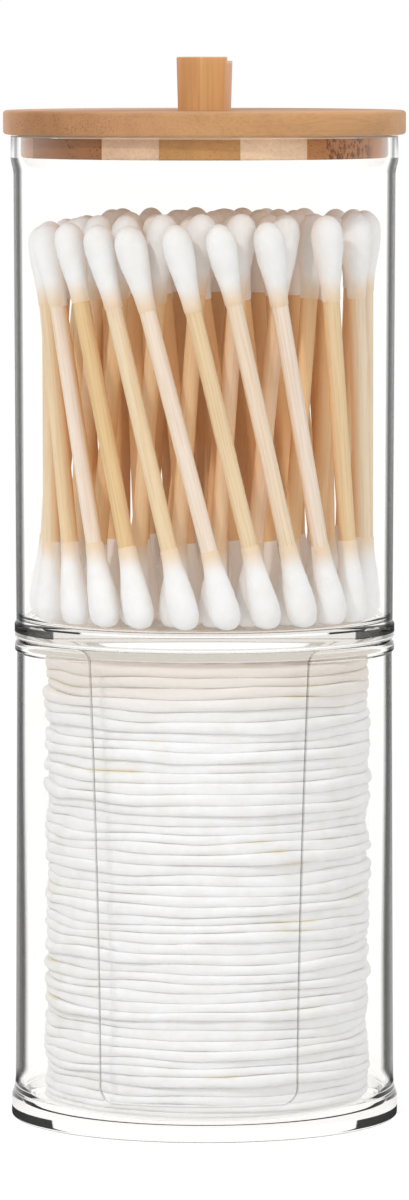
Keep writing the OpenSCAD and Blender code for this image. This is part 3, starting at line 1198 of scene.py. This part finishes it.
PAD_SEGMENTS = 180
PAD_EDGE_STEPS = 10
PAD_EDGE_DEPTH = 0.42
PAD_EDGE_POWER = 2.6
PAD_GAP = 0.006
PAD_WAVES = [
    (
        random.uniform(0.05, 0.13),
        random.uniform(-1, 1, 2) * 2 * math.pi / random.uniform(9, 50),
        random.uniform(0, 2 * math.pi),
        random.uniform(0.5, 2.2),
    )
    for _ in range(11)
]


def pad_face_wave(level, x, y):
    """How far the face between two pads lies off its flat height."""
    if level == 0:
        return np.zeros_like(x)
    total = np.zeros_like(x)
    for height, pace, phase, drift in PAD_WAVES:
        total += height * np.sin(pace[0] * x + pace[1] * y + phase + drift * level)
    return total


def make_pad(number):
    """One cotton pad, whose faces fit its neighbours' and whose edge is soft and round."""
    node = f"cotton_pad_{number:02d}"
    low, high = cad_box_mm(node)
    centre = (low + high) / 2
    radius = (high[0] - low[0]) / 2
    turn = np.linspace(0, 2 * math.pi, PAD_SEGMENTS, endpoint=False)
    phases = random.uniform(0, 2 * math.pi, 4)
    rim = radius - random.uniform(0.05, 0.45) + 0.12 * np.sin(3 * turn + phases[0])
    rim += 0.08 * np.sin(7 * turn + phases[1]) + 0.05 * np.sin(13 * turn + phases[2])
    rim += 0.03 * np.sin(29 * turn + phases[3]) + random.normal(0, 0.02, PAD_SEGMENTS)
    depth = PAD_EDGE_DEPTH * (
        1 + 0.35 * np.sin(4 * turn + phases[2]) + 0.30 * np.sin(11 * turn + phases[0])
    )

    def ring(reach, rise):
        """Points at a share of the way out, rise from -1 at the bottom face to 1 on top."""
        x, y = centre[0] + reach * np.cos(turn), centre[1] + reach * np.sin(turn)
        bottom = low[2] + pad_face_wave(number - 1, x, y) + PAD_GAP
        top = high[2] + pad_face_wave(number, x, y) - PAD_GAP
        return np.column_stack([x, y, (top + bottom) / 2 + rise * (top - bottom) / 2])

    shares = (0.02, 0.35, 0.7, 0.92)
    rises = np.linspace(-1, 1, PAD_EDGE_STEPS + 1)
    rings = [ring((rim - depth) * share, -1) for share in shares]
    rings += [ring(rim - depth * abs(rise) ** PAD_EDGE_POWER, rise) for rise in rises]
    rings += [ring((rim - depth) * share, 1) for share in shares[::-1]]
    points = np.vstack(rings)
    faces = grid_faces(len(rings), PAD_SEGMENTS, 0, closed=True)
    faces.append(tuple(range(PAD_SEGMENTS))[::-1])
    faces.append(tuple(range(len(points) - PAD_SEGMENTS, len(points))))
    pad = new_piece(f"pad_{number:02d}", points, faces, [pad_cotton], None, 75)
    # Weights of the painted shade between pads: 1 on the faces and deep in the groove, 0 at the
    # edge's outermost line
    flat = [1.0] * len(shares)
    groove = np.repeat(flat + [abs(rise) ** 3 for rise in rises] + flat, PAD_SEGMENTS)
    stored = pad.data.attributes.new("groove", "FLOAT", "POINT")
    stored.data.foreach_set("value", groove.astype(np.float32))
    dress(pad, "lower", [node])


# Camera: a long lens, a little above the lid and a touch to the right
EYE_DISTANCE = 1.26
EYE_HEIGHT = 0.1928
EYE_TURN_DEG = 2.0
EYE_DIP_DEG = 4.61
LENS_MM = 215.55
SENSOR_MM = 36.0


def make_camera():
    lens = bpy.data.cameras.new("camera")
    lens.lens = LENS_MM
    lens.sensor_width = SENSOR_MM
    lens.clip_start = 0.05
    lens.clip_end = 50.0
    camera = bpy.data.objects.new("camera", lens)
    turn, dip = math.radians(EYE_TURN_DEG), math.radians(EYE_DIP_DEG)
    camera.location = (
        EYE_DISTANCE * math.sin(turn),
        -EYE_DISTANCE * math.cos(turn),
        EYE_HEIGHT,
    )
    look = Vector((-math.sin(turn), math.cos(turn), -math.tan(dip)))
    camera.rotation_euler = look.to_track_quat("-Z", "Y").to_euler()
    bpy.context.scene.collection.objects.link(camera)
    bpy.context.scene.camera = camera


AMBIENT = 0.70
ROOM_SEEN = 0.35
ROOM_FADE = 0.35
THROUGH_CLEAR = 0.07
FLOOR_DROP_M = 0.00005
FLOOR_R_M = 0.8
FLOOR_GLOW = 0.78
FLOOR_SEEN_GREY = 0.28
FLOOR_GREY = 0.80


def make_world():
    """A studio: full white where it is seen, a little more behind acrylic to make up for
    what that takes away, softer as light, and a darker room in front of the object, which
    its glossy sides mirror."""
    world = bpy.data.worlds.new("studio")
    world.use_nodes = True
    tree = world.node_tree
    tree.nodes.clear()
    coords = add_node(tree, "TexCoord").outputs["Generated"]
    towards_back = add_node(tree, "SeparateXYZ", {0: coords}).outputs["Y"]
    mirrored = map_range(tree, towards_back, -ROOM_FADE, ROOM_FADE, ROOM_SEEN, 1.0)
    path = add_node(tree, "LightPath").outputs
    dimming = math_node(tree, "SUBTRACT", 1.0, mirrored)
    dimmed = math_node(tree, "MULTIPLY", path["Is Glossy Ray"], dimming)
    shown = math_node(tree, "SUBTRACT", 1.0, dimmed)
    shown = math_node(
        tree, "MULTIPLY_ADD", path["Is Transmission Ray"], THROUGH_CLEAR, shown
    )
    above = math_node(tree, "SUBTRACT", shown, AMBIENT)
    strength = math_node(tree, "MULTIPLY_ADD", seen_directly(tree), above, AMBIENT)
    sky = add_node(tree, "Background", {"Color": (1, 1, 1, 1), "Strength": strength})
    add_node(tree, "OutputWorld", {"Surface": sky.outputs[0]})
    bpy.context.scene.world = world


def make_floor():
    """A pale round floor that keeps the object's shadow."""
    material, tree = new_material("floor_pale")
    lit = add_node(tree, "BsdfDiffuse", {"Color": (*(FLOOR_SEEN_GREY,) * 3, 1.0)})
    glow = add_node(tree, "Emission", {"Color": (1, 1, 1, 1), "Strength": FLOOR_GLOW})
    shown = add_node(tree, "AddShader", {0: lit.outputs[0], 1: glow.outputs[0]})
    plain = add_node(tree, "BsdfDiffuse", {"Color": (*(FLOOR_GREY,) * 3, 1.0)})
    mixed = add_node(
        tree,
        "MixShader",
        {0: seen_directly(tree), 1: plain.outputs[0], 2: shown.outputs[0]},
    )
    output(tree, mixed.outputs[0])
    turn = np.linspace(0, 2 * math.pi, 96, endpoint=False)
    rim = np.column_stack([np.cos(turn), np.sin(turn), np.zeros(96)]) * FLOOR_R_M / MM
    floor = new_piece("floor", rim, [tuple(range(96))], [material])
    floor.location.z = -FLOOR_DROP_M


def make_lamp(name, place_m, aim_m, size_m, watts):
    """A square soft box."""
    lamp = bpy.data.lights.new(name, "AREA")
    lamp.size = size_m
    lamp.energy = watts
    obj = bpy.data.objects.new(name, lamp)
    obj.location = place_m
    look = Vector(aim_m) - Vector(place_m)
    obj.rotation_euler = look.to_track_quat("-Z", "Y").to_euler()
    obj.visible_glossy = False
    obj.visible_transmission = False
    bpy.context.scene.collection.objects.link(obj)


def make_lamps():
    middle = (0.0, 0.0, 0.1)
    make_lamp("key_left", (-0.52, -0.95, 0.95), middle, 0.06, 4.4)
    make_lamp("fill_right", (0.6, -0.95, 0.5), middle, 0.6, 1.4)
    make_lamp("top", (0.0, -0.1, 1.3), middle, 0.8, 2.2)


make_camera()
make_world()
make_floor()
make_lamps()
make_lower_cup()
make_upper_cup()
make_lid()
make_knob()
for swab_ring in range(1, RINGS + 1):
    make_swabs(swab_ring)
for pad_number in range(1, PADS + 1):
    make_pad(pad_number)

bpy.context.scene.view_settings.view_transform = "Standard"
bpy.context.view_layer.update()
